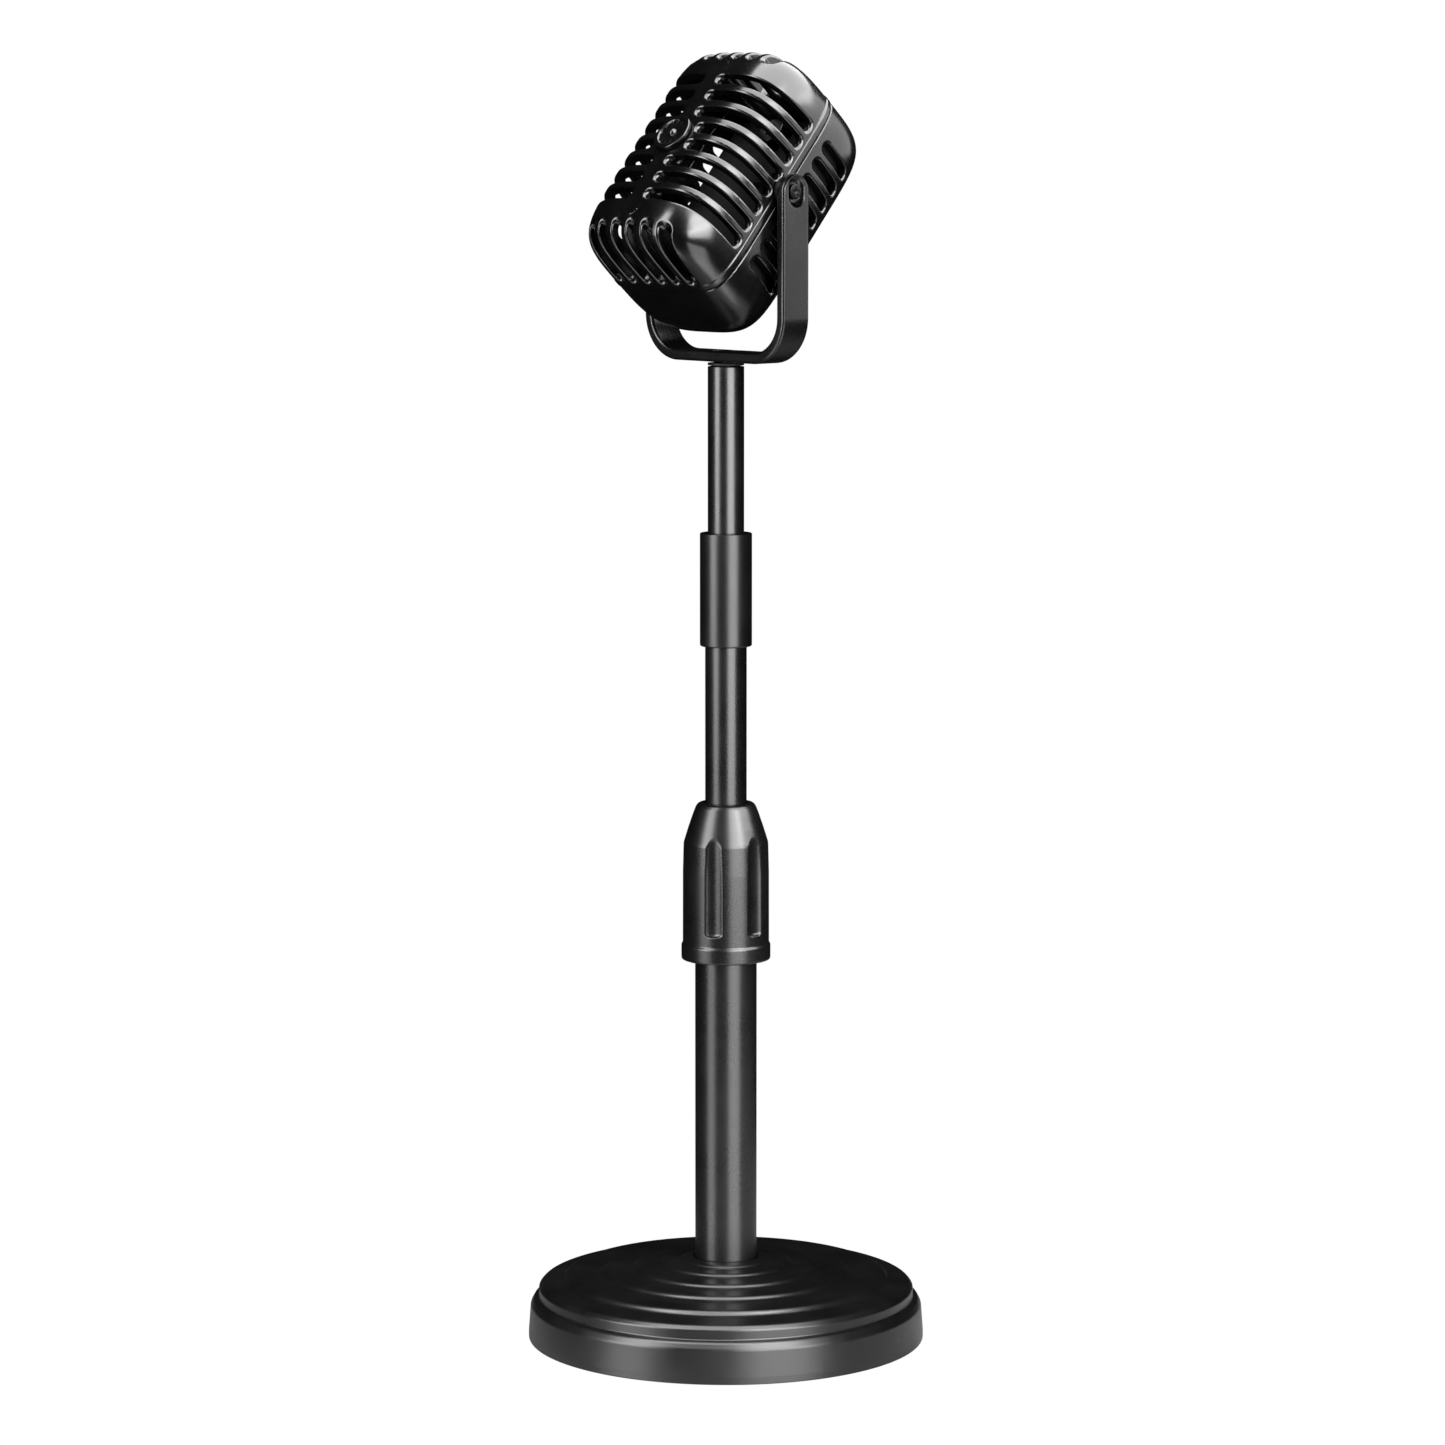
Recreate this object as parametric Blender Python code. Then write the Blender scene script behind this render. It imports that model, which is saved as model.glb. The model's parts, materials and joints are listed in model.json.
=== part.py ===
"""Toy microphone on a telescopic table stand, built as separate solids.

The stand's axis is world Z, and the stand rests on Z = 0. The head turns in its yoke about
an axis along X, and its front faces -Y when the head is upright. Dimensions are in
millimetres and are scaled to metres as the meshes are made.
"""
import math

import bmesh
import bpy
from mathutils import Matrix, Vector

MM = 0.001
GAP = 0.3                    # between pieces that touch on the real object

# Base
BASE_RADIUS = 50.0
BASE_SKIRT_BOTTOM = 0.6
BASE_WALL = 2.2
# Radius and height of the outer side, from the skirt up to the rings
BASE_SIDE = ((50.0, 2.5), (49.5, 9.0), (48.9, 10.2), (47.7, 11.0), (47.4, 13.4), (46.9, 14.1), (45.7, 14.7))
# Radius, height and riser of each ring, and how far out the foot of a riser lies
BASE_RINGS = ((40.2, 16.9, 1.3), (30.5, 18.1, 1.1), (22.9, 19.2, 1.0), (15.8, 20.2, 0.9), (10.6, 21.0, 0.8))
RING_RISE_RUN = 0.9
BASE_TOP = 21.3
BASE_CEILING = ((10.5, 17.6), (29.0, 15.6), (40.0, 13.6), (44.0, 12.0), (46.8, 8.7), (47.8, 3.3))
SOCKET_FLOOR = 8.2
SOCKET_FLOOR_BOTTOM = 6.0
SOCKET_HOLE_RADIUS = 2.2
BASE_BOSS_CIRCLE = 44.0
BASE_BOSS_RADIUS = 3.0
BASE_BOSS_TOP = 13.3
BASE_HOLE_RADIUS = 1.5
BASE_HOLE_TOP = 10.0
BASE_SCREWS = 3
PAD_RADIUS = 40.0
PAD_THICKNESS = 1.3
PLATE_BOTTOM = 1.6
PLATE_TOP = 3.0
WEIGHT_INNER = 14.0
WEIGHT_OUTER = 40.4
WEIGHT_TOP = 9.0

# Tubes: outer and inner radius, bottom and top
LOWER_TUBE = (7.75, 6.5, 8.5, 126.0)
MID_TUBE = (5.2, 4.8, 62.0, 192.8)
UPPER_TUBE = (4.525, 4.125, 125.0, 246.4)

# Twist-lock collar
COLLAR_BOTTOM = 97.6
COLLAR_FLANGE_TOP = 101.7
COLLAR_FLANGE_RADIUS = 11.2
COLLAR_RADIUS = 10.85
COLLAR_SHOULDER = ((10.8, 120.0), (10.65, 125.6), (10.3, 128.7), (9.4, 131.8), (8.5, 134.8), (6.9, 137.3))
COLLAR_BORE = 9.1
COLLAR_CONE_BOTTOM = 127.5
COLLAR_CONE_TOP = 134.3
COLLAR_CONE_TOP_RADIUS = 6.7
COLLAR_GROOVES = 6
GROOVE_BOTTOM = 104.5
GROOVE_TOP = 129.5
GROOVE_HALF_WIDTH = 2.15
GROOVE_FLOOR_RADIUS = 9.85

# Sleeve on the mid tube
SLEEVE_RADIUS = 6.5
SLEEVE_BOTTOM = 176.7
SLEEVE_TOP = 205.0
SLEEVE_STEP = 193.1
SLEEVE_BEVEL = 0.4

# Yoke
YOKE_BOTTOM = 247.6
YOKE_THICKNESS = 2.7
YOKE_WIDTH = 8.8
YOKE_OUTER_WIDTH = 50.3
YOKE_CORNER = 11.5           # outer radius of the bend
PIVOT_HEIGHT = 289.8
RECESS_DEPTH = 1.1
RECESS_WIDTH = 4.2
RECESS_HEIGHT = 6.4

# Head: half sizes along the pivot axis, front to back and end to end
HEAD_TILT = 41.0             # degrees, leaning back
HEAD_HALF = (20.85, 21.7, 31.1)
SECTION_POWER = 3.5          # roundness across the head
PROFILE_POWER = 6.8          # roundness towards its ends
HEAD_WALL = 2.5
HEAD_CENTRE = Vector((0.0, -0.4, -1.0))      # from the pivot, with the head upright
SEAM_GAP = 0.3
HEAD_DIVISIONS = 8
SLOT_ROWS = 8
SLOT_PITCH = 5.2
SLOT_HALF_WIDTH = 1.6
SPINE_HALF = 2.75            # plain strip down the middle of the front
BADGE_SEAT_HALF = 6.3        # the two middle rows start further out, beside the badge
FRONT_SLOT_END = 3.1         # where the side slots stop, in front of the body's middle
REAR_SLOT_START = 3.6
REAR_SLOT_END = 15.0
END_SLOTS = 6
END_SLOT_TIP = 25.7          # from the middle towards either end
END_SLOT_BACK = 2.2
POST_OFFSET = 22.0
FRONT_POST_RADIUS = 2.5
REAR_POST_RADIUS = 3.8
BADGE_RADIUS = 5.2
FILLER_FRONT = 5.6           # how far behind the head's middle the block in the rear shell begins
FILLER_GAP = 0.6


# ---------------------------------------------------------------- helpers

def clear_scene():
    for item in list(bpy.data.objects):
        bpy.data.objects.remove(item, do_unlink=True)


def finish(name, colour, roughness, metallic=0.0):
    """A plain material for one kind of surface."""
    material = bpy.data.materials.new(name)
    material.use_nodes = True
    shader = material.node_tree.nodes["Principled BSDF"]
    shader.inputs["Base Color"].default_value = (*colour, 1.0)
    shader.inputs["Roughness"].default_value = roughness
    shader.inputs["Metallic"].default_value = metallic
    return material


def body_frame(name, place, tilt=0.0, parent=None):
    """An empty on a joint's axis that carries the pieces of one body."""
    frame = bpy.data.objects.new(name, None)
    bpy.context.collection.objects.link(frame)
    world = Matrix.Translation(Vector(place) * MM) @ Matrix.Rotation(math.radians(tilt), 4, "X")
    if parent is not None:
        frame.parent = parent
    frame.matrix_world = world
    bpy.context.view_layer.update()
    return frame


def add_piece(name, mesh, material, body):
    """An object whose mesh is drawn in its body's own frame, shaded smooth where round."""
    if material is not None and not mesh.materials:
        mesh.materials.append(material)
    mesh.shade_smooth()
    mesh.set_sharp_from_angle(angle=math.radians(35))
    piece = bpy.data.objects.new(name, mesh)
    bpy.context.collection.objects.link(piece)
    piece.parent = body
    return piece


def to_mesh(name, bm):
    """Scale from millimetres, turn the faces out and hand back a mesh."""
    bmesh.ops.scale(bm, vec=(MM, MM, MM), verts=bm.verts)
    bmesh.ops.recalc_face_normals(bm, faces=bm.faces)
    mesh = bpy.data.meshes.new(name)
    bm.to_mesh(mesh)
    bm.free()
    return mesh


def add_turned(bm, profile, segments, sweep=360.0):
    """Turn a closed outline of (radius, height) points about Z."""
    full = sweep >= 360.0
    count = segments if full else segments + 1
    rings = []
    for radius, height in profile:
        if radius < 1e-6:
            rings.append([bm.verts.new((0.0, 0.0, height))] * count)
            continue
        ring = []
        for step in range(count):
            angle = math.radians(sweep) * step / segments
            ring.append(bm.verts.new((radius * math.cos(angle), radius * math.sin(angle), height)))
        rings.append(ring)
    for here, there in zip(rings, rings[1:] + rings[:1]):
        for step in range(segments):
            after = (step + 1) % count
            corners = [here[step], here[after], there[after], there[step]]
            corners = list(dict.fromkeys(corners))
            if len(corners) > 2:
                bm.faces.new(corners)
    if not full:
        bm.faces.new([ring[0] for ring in rings])
        bm.faces.new([ring[-1] for ring in rings])


def turned_mesh(name, profile, segments=24, sweep=360.0, place=None):
    bm = bmesh.new()
    add_turned(bm, profile, segments, sweep)
    if place is not None:
        bmesh.ops.transform(bm, matrix=place, verts=bm.verts)
    return to_mesh(name, bm)


def add_rod(bm, outline, place, segments):
    """One more closed rod in a mesh that holds several."""
    rod = bmesh.new()
    add_turned(rod, outline, segments)
    bmesh.ops.transform(rod, matrix=place, verts=rod.verts)
    scratch = bpy.data.meshes.new("rod")
    rod.to_mesh(scratch)
    rod.free()
    bm.from_mesh(scratch)
    bpy.data.meshes.remove(scratch)


def add_loft(bm, sections):
    """Join equal closed sections into one capped solid."""
    loops = [[bm.verts.new(point) for point in section] for section in sections]
    for here, there in zip(loops, loops[1:]):
        for index in range(len(here)):
            after = (index + 1) % len(here)
            bm.faces.new([here[index], here[after], there[after], there[index]])
    bm.faces.new(loops[0])
    bm.faces.new(loops[-1])


def tube_profile(outer, inner, bottom, top):
    return [(outer, bottom), (outer, top), (inner, top), (inner, bottom)]


def boolean(target, other, operation):
    """Cut or join with another solid, which is hidden and kept as a guide."""
    modifier = target.modifiers.new(other.name, "BOOLEAN")
    modifier.operation = operation
    modifier.object = other
    modifier.solver = "EXACT"
    other.hide_render = True
    other.display_type = "WIRE"


def along_x(place, mirrored=False):
    """Turn a solid drawn along Z so that it lies along X, or along -X."""
    turn = -90.0 if mirrored else 90.0
    return Matrix.Translation(place) @ Matrix.Rotation(math.radians(turn), 4, "Y")


def along_y(place):
    """Turn a solid drawn along Z so that its top points to -Y."""
    return Matrix.Translation(place) @ Matrix.Rotation(math.radians(90.0), 4, "X")


# ---------------------------------------------------------------- base and lower tube

def base_outline():
    """The base shell's section: ringed top, socket for the tube, hollow underside."""
    points = [(BASE_RADIUS, BASE_SKIRT_BOTTOM)]
    points += BASE_SIDE
    for radius, height, riser in BASE_RINGS:
        points.append((radius + RING_RISE_RUN, height - riser))
        points.append((radius, height))
    socket = LOWER_TUBE[0] + GAP
    points += [(socket + 0.5, BASE_TOP), (socket, BASE_TOP - 0.4), (socket, SOCKET_FLOOR)]
    points += [(SOCKET_HOLE_RADIUS, SOCKET_FLOOR), (SOCKET_HOLE_RADIUS, SOCKET_FLOOR_BOTTOM)]
    points.append((BASE_CEILING[0][0], SOCKET_FLOOR_BOTTOM))
    points += BASE_CEILING
    points.append((BASE_RADIUS - BASE_WALL, BASE_SKIRT_BOTTOM))
    return points


def base_boss_places():
    """Centres of the screw bosses under the base."""
    places = []
    for index in range(BASE_SCREWS):
        angle = math.radians(30.0 + 360.0 * index / BASE_SCREWS)
        places.append(Vector((math.cos(angle), math.sin(angle), 0.0)) * BASE_BOSS_CIRCLE)
    return places


def upright_rods(name, radius, bottom, top):
    """Upright round rods, one at each screw boss."""
    bm = bmesh.new()
    for place in base_boss_places():
        outline = [(0.0, bottom), (radius, bottom), (radius, top), (0.0, top)]
        add_rod(bm, outline, Matrix.Translation(place), 12)
    return to_mesh(name, bm)


def make_base(body, looks):
    shell = add_piece("base_shell", turned_mesh("base_shell", base_outline(), 32), looks["base_satin"], body)
    mesh = upright_rods("boss_rods", BASE_BOSS_RADIUS, PLATE_TOP + GAP, BASE_BOSS_TOP)
    boolean(shell, add_piece("boss_rods", mesh, None, body), "UNION")
    mesh = upright_rods("boss_holes", BASE_HOLE_RADIUS, PLATE_TOP, BASE_HOLE_TOP)
    boolean(shell, add_piece("boss_holes", mesh, None, body), "DIFFERENCE")

    weight = tube_profile(WEIGHT_OUTER, WEIGHT_INNER, PLATE_TOP + GAP, WEIGHT_TOP)
    add_piece("base_weight", turned_mesh("base_weight", weight, 24), looks["weight_iron"], body)

    plate_radius = BASE_RADIUS - BASE_WALL - GAP
    outline = [(0.0, PLATE_BOTTOM), (plate_radius, PLATE_BOTTOM), (plate_radius, PLATE_TOP), (0.0, PLATE_TOP)]
    plate = add_piece("base_plate", turned_mesh("base_plate", outline, 32), looks["base_satin"], body)
    mesh = upright_rods("plate_holes", BASE_HOLE_RADIUS + 0.1, 0.0, PLATE_TOP + 1.0)
    boolean(plate, add_piece("plate_holes", mesh, None, body), "DIFFERENCE")

    pad = [(0.0, 0.0), (PAD_RADIUS, 0.0), (PAD_RADIUS, PAD_THICKNESS), (0.0, PAD_THICKNESS)]
    add_piece("foot_pad", turned_mesh("foot_pad", pad, 24), looks["pad_foam"], body)

    screw = [(0.0, 0.3), (1.8, 0.3), (2.4, 0.7), (2.4, 1.3), (1.2, 1.3), (1.2, 8.6), (0.5, 9.6), (0.0, 9.6)]
    for index, place in enumerate(base_boss_places(), 1):
        name = f"base_plate_screw_{index}"
        mesh = turned_mesh(name, screw, 12, place=Matrix.Translation(place))
        add_piece(name, mesh, looks["screw_steel"], body)


def make_lower_tube(body, looks):
    tube = turned_mesh("lower_tube", tube_profile(*LOWER_TUBE), 24)
    add_piece("lower_tube", tube, looks["tube_black"], body)

    radius = LOWER_TUBE[1] - GAP
    plug = [(1.7, 8.5), (radius, 8.5), (radius, 22.0), (0.0, 22.0), (0.0, 19.0), (1.7, 19.0)]
    add_piece("tube_plug", turned_mesh("tube_plug", plug, 16), looks["bush_nylon"], body)

    washer = tube_profile(4.6, 1.9, 5.1, 5.7)
    add_piece("tube_screw_washer", turned_mesh("tube_screw_washer", washer, 16), looks["screw_steel"], body)

    screw = [(0.0, 3.3), (2.8, 3.3), (3.4, 3.8), (3.4, 4.8), (1.4, 4.8), (1.4, 17.4)]
    screw += [(0.6, 18.6), (0.0, 18.6)]
    add_piece("tube_screw", turned_mesh("tube_screw", screw, 12), looks["screw_steel"], body)

    ferrule_inner = LOWER_TUBE[0] + GAP
    ferrule = [(8.8, 103.0), (8.8, 124.6), (8.4, 125.4), (ferrule_inner, 125.4), (ferrule_inner, 103.0)]
    add_piece("clutch_ferrule", turned_mesh("clutch_ferrule", ferrule, 20), looks["bush_nylon"], body)

    bore = MID_TUBE[0] + GAP
    collet = [(bore, 126.4), (8.1, 126.4), (8.1, 127.6), (6.3, 133.4), (bore, 133.4)]
    mesh = turned_mesh("clutch_collet", collet, 18, sweep=338.0)
    add_piece("clutch_collet", mesh, looks["bush_nylon"], body)


# ---------------------------------------------------------------- telescopic stages

def groove_cutter():
    """The collar's long grooves, each with a flat floor and an arched upper end."""
    bm = bmesh.new()
    arch = GROOVE_HALF_WIDTH
    outline = [(-arch, GROOVE_BOTTOM), (arch, GROOVE_BOTTOM)]
    for step in range(5):
        angle = math.radians(45.0 * step)
        outline.append((arch * math.cos(angle), GROOVE_TOP - 1.6 * arch + 1.6 * arch * math.sin(angle)))
    for index in range(COLLAR_GROOVES):
        turn = Matrix.Rotation(math.radians(360.0 * index / COLLAR_GROOVES), 3, "Z")
        sections = []
        for reach in (GROOVE_FLOOR_RADIUS, COLLAR_FLANGE_RADIUS + 1.0):
            sections.append([turn @ Vector((reach, across, up)) for across, up in outline])
        add_loft(bm, sections)
    return to_mesh("groove_cutter", bm)


def make_collar(body, looks):
    outline = [(COLLAR_FLANGE_RADIUS, COLLAR_BOTTOM), (COLLAR_FLANGE_RADIUS, COLLAR_FLANGE_TOP)]
    outline += [(COLLAR_RADIUS, COLLAR_FLANGE_TOP + 0.4), *COLLAR_SHOULDER]
    bore = MID_TUBE[0] + GAP
    outline += [(bore, COLLAR_SHOULDER[-1][1]), (bore, COLLAR_CONE_TOP)]
    outline += [(COLLAR_CONE_TOP_RADIUS, COLLAR_CONE_TOP), (COLLAR_BORE, COLLAR_CONE_BOTTOM)]
    outline += [(COLLAR_BORE, COLLAR_BOTTOM)]
    collar = add_piece("lock_collar", turned_mesh("lock_collar", outline, 36), looks["collar_satin"], body)
    boolean(collar, add_piece("groove_cutter", groove_cutter(), None, body), "DIFFERENCE")


def make_mid_stage(body, looks):
    mesh = turned_mesh("mid_tube", tube_profile(*MID_TUBE), 20)
    add_piece("mid_tube", mesh, looks["tube_black"], body)

    bottom = MID_TUBE[2]
    bush = tube_profile(LOWER_TUBE[1] - GAP, MID_TUBE[0] + GAP, bottom, bottom + 10.0)
    add_piece("mid_tube_bush", turned_mesh("mid_tube_bush", bush, 20), looks["bush_nylon"], body)

    bore = MID_TUBE[0] + GAP
    pocket = bore + 0.4
    bevel = SLEEVE_BEVEL
    sleeve = [(SLEEVE_RADIUS - bevel, SLEEVE_BOTTOM), (SLEEVE_RADIUS, SLEEVE_BOTTOM + bevel)]
    sleeve += [(SLEEVE_RADIUS, SLEEVE_TOP - bevel), (SLEEVE_RADIUS - bevel, SLEEVE_TOP)]
    sleeve += [(pocket, SLEEVE_TOP), (pocket, SLEEVE_STEP), (bore, SLEEVE_STEP), (bore, SLEEVE_BOTTOM)]
    add_piece("coupling_sleeve", turned_mesh("coupling_sleeve", sleeve, 24), looks["sleeve_satin"], body)

    bush = tube_profile(pocket - GAP, UPPER_TUBE[0] + GAP, SLEEVE_STEP + GAP, SLEEVE_TOP - 0.5)
    add_piece("friction_bush", turned_mesh("friction_bush", bush, 20), looks["bush_nylon"], body)


def make_upper_stage(body, looks):
    mesh = turned_mesh("upper_tube", tube_profile(*UPPER_TUBE), 20)
    add_piece("upper_tube", mesh, looks["tube_black"], body)

    inside = UPPER_TUBE[1] - GAP
    bottom = UPPER_TUBE[2]
    plug = [(0.0, bottom - 1.6), (4.4, bottom - 1.6), (4.4, bottom - GAP), (inside, bottom - GAP)]
    plug += [(inside, bottom + 8.0), (0.0, bottom + 8.0)]
    add_piece("upper_tube_plug", turned_mesh("upper_tube_plug", plug, 16), looks["bush_nylon"], body)

    top = UPPER_TUBE[3]
    insert = [(0.0, top - 14.0), (inside, top - 14.0), (inside, top), (1.6, top), (1.6, top - 10.0)]
    insert.append((0.0, top - 10.0))
    add_piece("upper_tube_insert", turned_mesh("upper_tube_insert", insert, 16), looks["brass"], body)

    washer = tube_profile(UPPER_TUBE[0], 2.0, top + GAP, YOKE_BOTTOM - GAP)
    add_piece("swivel_washer", turned_mesh("swivel_washer", washer, 24), looks["bush_nylon"], body)

    head_top = YOKE_BOTTOM + YOKE_THICKNESS - 0.15
    screw = [(0.0, head_top), (3.1, head_top), (3.1, head_top - 0.3), (1.3, head_top - 1.7)]
    screw += [(1.3, top - 8.0), (0.6, top - 9.2), (0.0, top - 9.2)]
    add_piece("yoke_screw", turned_mesh("yoke_screw", screw[::-1], 16), looks["screw_steel"], body)


# ---------------------------------------------------------------- yoke

def yoke_sections():
    """Rectangular sections along the U, narrowing to a half round at each arm's top."""
    half_width = YOKE_WIDTH / 2
    centre_x = (YOKE_OUTER_WIDTH - YOKE_THICKNESS) / 2
    bend = YOKE_CORNER - YOKE_THICKNESS / 2
    low = YOKE_BOTTOM + YOKE_THICKNESS / 2
    right = [(Vector((0.0, 0.0, low)), Vector((0.0, 0.0, -1.0)), half_width)]
    for step in range(9):
        angle = math.radians(11.25 * step)
        outward = Vector((math.sin(angle), 0.0, -math.cos(angle)))
        middle = Vector((centre_x - bend, 0.0, low + bend)) + outward * bend
        right.append((middle, outward, half_width))
    for step in range(7):
        angle = math.radians(14.0 * step)
        height = PIVOT_HEIGHT + half_width * math.sin(angle)
        right.append((Vector((centre_x, 0.0, height)), Vector((1.0, 0.0, 0.0)), half_width * math.cos(angle)))
    flip = Vector((-1.0, 1.0, 1.0))
    left = [(middle * flip, outward * flip, width) for middle, outward, width in right[:0:-1]]
    sections = []
    for middle, outward, width in left + right:
        out = middle + outward * (YOKE_THICKNESS / 2)
        inner = middle - outward * (YOKE_THICKNESS / 2)
        across = Vector((0.0, width, 0.0))
        sections.append([out + across, out - across, inner - across, inner + across])
    return sections


def make_yoke(body, looks):
    lift = Vector((0.0, 0.0, YOKE_BOTTOM))
    bm = bmesh.new()
    add_loft(bm, yoke_sections())
    bmesh.ops.translate(bm, vec=-lift, verts=bm.verts)
    yoke = add_piece("yoke", to_mesh("yoke", bm), looks["yoke_satin"], body)

    pivot = PIVOT_HEIGHT - YOKE_BOTTOM
    half_outer = YOKE_OUTER_WIDTH / 2
    bm = bmesh.new()
    floor = half_outer - RECESS_DEPTH
    radius = RECESS_WIDTH / 2
    straight = RECESS_HEIGHT / 2 - radius
    outline = []
    for step in range(12):
        angle = math.radians(30.0 * step + 15.0)
        shift = straight if math.sin(angle) > 0 else -straight
        outline.append((radius * math.cos(angle), pivot + shift + radius * math.sin(angle)))
    for side in (1.0, -1.0):
        add_loft(bm, [[Vector((side * reach, across, up)) for across, up in outline]
                      for reach in (floor, half_outer + 1.0)])
    boolean(yoke, add_piece("yoke_recess", to_mesh("yoke_recess", bm), None, body), "DIFFERENCE")

    bore = [(0.0, -30.0), (1.6, -30.0), (1.6, 30.0), (0.0, 30.0)]
    place = along_x(Vector((0.0, 0.0, pivot)))
    holes = turned_mesh("yoke_pivot_holes", bore, 12, place=place)
    boolean(yoke, add_piece("yoke_pivot_holes", holes, None, body), "DIFFERENCE")

    top = YOKE_THICKNESS
    sink = [(0.0, -1.0), (1.7, -1.0), (1.7, top - 1.9), (3.5, top - 0.35), (3.5, top + 1.0), (0.0, top + 1.0)]
    mesh = turned_mesh("yoke_screw_hole", sink, 20)
    boolean(yoke, add_piece("yoke_screw_hole", mesh, None, body), "DIFFERENCE")


# ---------------------------------------------------------------- head

def body_level(point, half):
    """Below 1 inside the rounded body, 1 on its surface."""
    across = (abs(point[0] / half[0]) ** SECTION_POWER + abs(point[1] / half[1]) ** SECTION_POWER)
    return across ** (PROFILE_POWER / SECTION_POWER) + abs(point[2] / half[2]) ** PROFILE_POWER


def rounded_body(name, half):
    """The head's closed outer or inner form, on a grid that is finer along its edges."""
    bm = bmesh.new()
    bmesh.ops.create_cube(bm, size=2.0)
    bmesh.ops.subdivide_edges(bm, edges=bm.edges[:], cuts=HEAD_DIVISIONS - 1, use_grid_fill=True)
    for vert in bm.verts:
        direction = [math.sin(value * math.pi / 2) * size for value, size in zip(vert.co, half)]
        reach = body_level(direction, half) ** (-1.0 / PROFILE_POWER)
        vert.co = Vector(direction) * reach + HEAD_CENTRE
    return to_mesh(name, bm)


def surface_path(plane_axes, fixed, angles, half):
    """Points on the head where it is cut by a plane, with the outward direction in the plane."""
    first, second = plane_axes
    third = 3 - first - second
    points = []
    for angle in angles:
        direction = Vector((0.0, 0.0, 0.0))
        direction[first] = math.cos(angle)
        direction[second] = math.sin(angle)
        inside, outside = 0.0, 60.0
        for _ in range(40):
            middle = (inside + outside) / 2
            point = direction * middle
            point[third] = fixed
            if body_level(point, half) < 1.0:
                inside = middle
            else:
                outside = middle
        point = direction * inside
        point[third] = fixed
        points.append(point)
    path = []
    for index in range(1, len(points) - 1):
        along = points[index + 1] - points[index - 1]
        normal = Vector((0.0, 0.0, 0.0))
        normal[first] = along[second]
        normal[second] = -along[first]
        normal.normalize()
        if normal.dot(points[index]) < 0:
            normal.negate()
        path.append((points[index], normal))
    return path


def walk(path, distance):
    """The place and outward direction at a distance along a path."""
    for (here, here_out), (there, there_out) in zip(path, path[1:]):
        length = (there - here).length
        if distance <= length:
            share = distance / length
            return here.lerp(there, share), here_out.lerp(there_out, share).normalized()
        distance -= length
    return path[-1]


def add_slot(bm, path, across, stations):
    """A round-ended slot that follows the surface, cut square to it."""
    total = sum((there[0] - here[0]).length for here, there in zip(path, path[1:]))
    radius = SLOT_HALF_WIDTH
    marks = [(0.0, 0.4), (0.55, 1.0)]
    places = [(mark * radius, width) for mark, width in marks]
    for step in range(1, stations):
        places.append((radius + (total - 2 * radius) * step / stations, 1.0))
    places += [(total - mark * radius, width) for mark, width in reversed(marks)]
    sections = []
    for distance, width in places:
        middle, outward = walk(path, distance)
        side = across * (radius * width)
        outer = middle + outward * 1.4 + HEAD_CENTRE
        inner = middle - outward * (HEAD_WALL + 1.4) + HEAD_CENTRE
        sections.append([outer + side, outer - side, inner - side, inner + side])
    add_loft(bm, sections)


def angle_range(start, stop, steps=160):
    return [math.radians(start + (stop - start) * step / steps) for step in range(steps + 1)]


def side_slot_rows():
    """Height of each slot row from the head's middle, with where it starts on the front."""
    rows = []
    for row in range(SLOT_ROWS):
        height = (row - (SLOT_ROWS - 1) / 2) * SLOT_PITCH
        start = BADGE_SEAT_HALF if abs(height) < SLOT_PITCH else SPINE_HALF
        rows.append((height, start))
    return rows


def front_slots():
    """Side slots from the front spine round to the seam, and slots over both ends."""
    bm = bmesh.new()
    for height, start in side_slot_rows():
        for side in (1.0, -1.0):
            path = surface_path((0, 1), height, angle_range(-90.0, 0.0), HEAD_HALF)
            path = [(place, out) for place, out in path if place.x > start and place.y < -FRONT_SLOT_END]
            flip = Vector((side, 1.0, 1.0))
            path = [(place * flip, out * flip) for place, out in path]
            add_slot(bm, path, Vector((0.0, 0.0, 1.0)), 5)
    for index in range(END_SLOTS):
        offset = (index - (END_SLOTS - 1) / 2) * SLOT_PITCH
        for side in (1.0, -1.0):
            path = surface_path((1, 2), offset, angle_range(180.0, 90.0), HEAD_HALF)
            path = [(place, out) for place, out in path
                    if place.z > END_SLOT_TIP and place.y < -END_SLOT_BACK]
            flip = Vector((1.0, 1.0, side))
            path = [(place * flip, out * flip) for place, out in path]
            add_slot(bm, path, Vector((1.0, 0.0, 0.0)), 4)
    return to_mesh("front_slots", bm)


def rear_slots():
    """Side slots of the rear shell, in line with those of the front."""
    bm = bmesh.new()
    for height, _ in side_slot_rows():
        for side in (1.0, -1.0):
            path = surface_path((0, 1), height, angle_range(0.0, 90.0), HEAD_HALF)
            path = [(place, out) for place, out in path if REAR_SLOT_START < place.y < REAR_SLOT_END]
            flip = Vector((side, 1.0, 1.0))
            path = [(place * flip, out * flip) for place, out in path]
            add_slot(bm, path, Vector((0.0, 0.0, 1.0)), 2)
    return to_mesh("rear_slots", bm)


def half_space(name, side):
    """A block that takes away everything in front of the seam, or behind it."""
    bm = bmesh.new()
    bmesh.ops.create_cube(bm, size=100.0)
    bmesh.ops.translate(bm, vec=(0.0, side * (50.0 - SEAM_GAP / 2), 0.0), verts=bm.verts)
    return to_mesh(name, bm)


def post_rods(name, radius, front, rear, segments):
    """Round rods along Y, one at each screw post."""
    bm = bmesh.new()
    for height in (POST_OFFSET, -POST_OFFSET):
        outline = [(0.0, -rear), (radius, -rear), (radius, -front), (0.0, -front)]
        place = along_y(Vector((0.0, 0.0, height + HEAD_CENTRE.z)))
        add_rod(bm, outline, place, segments)
    return to_mesh(name, bm)


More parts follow.
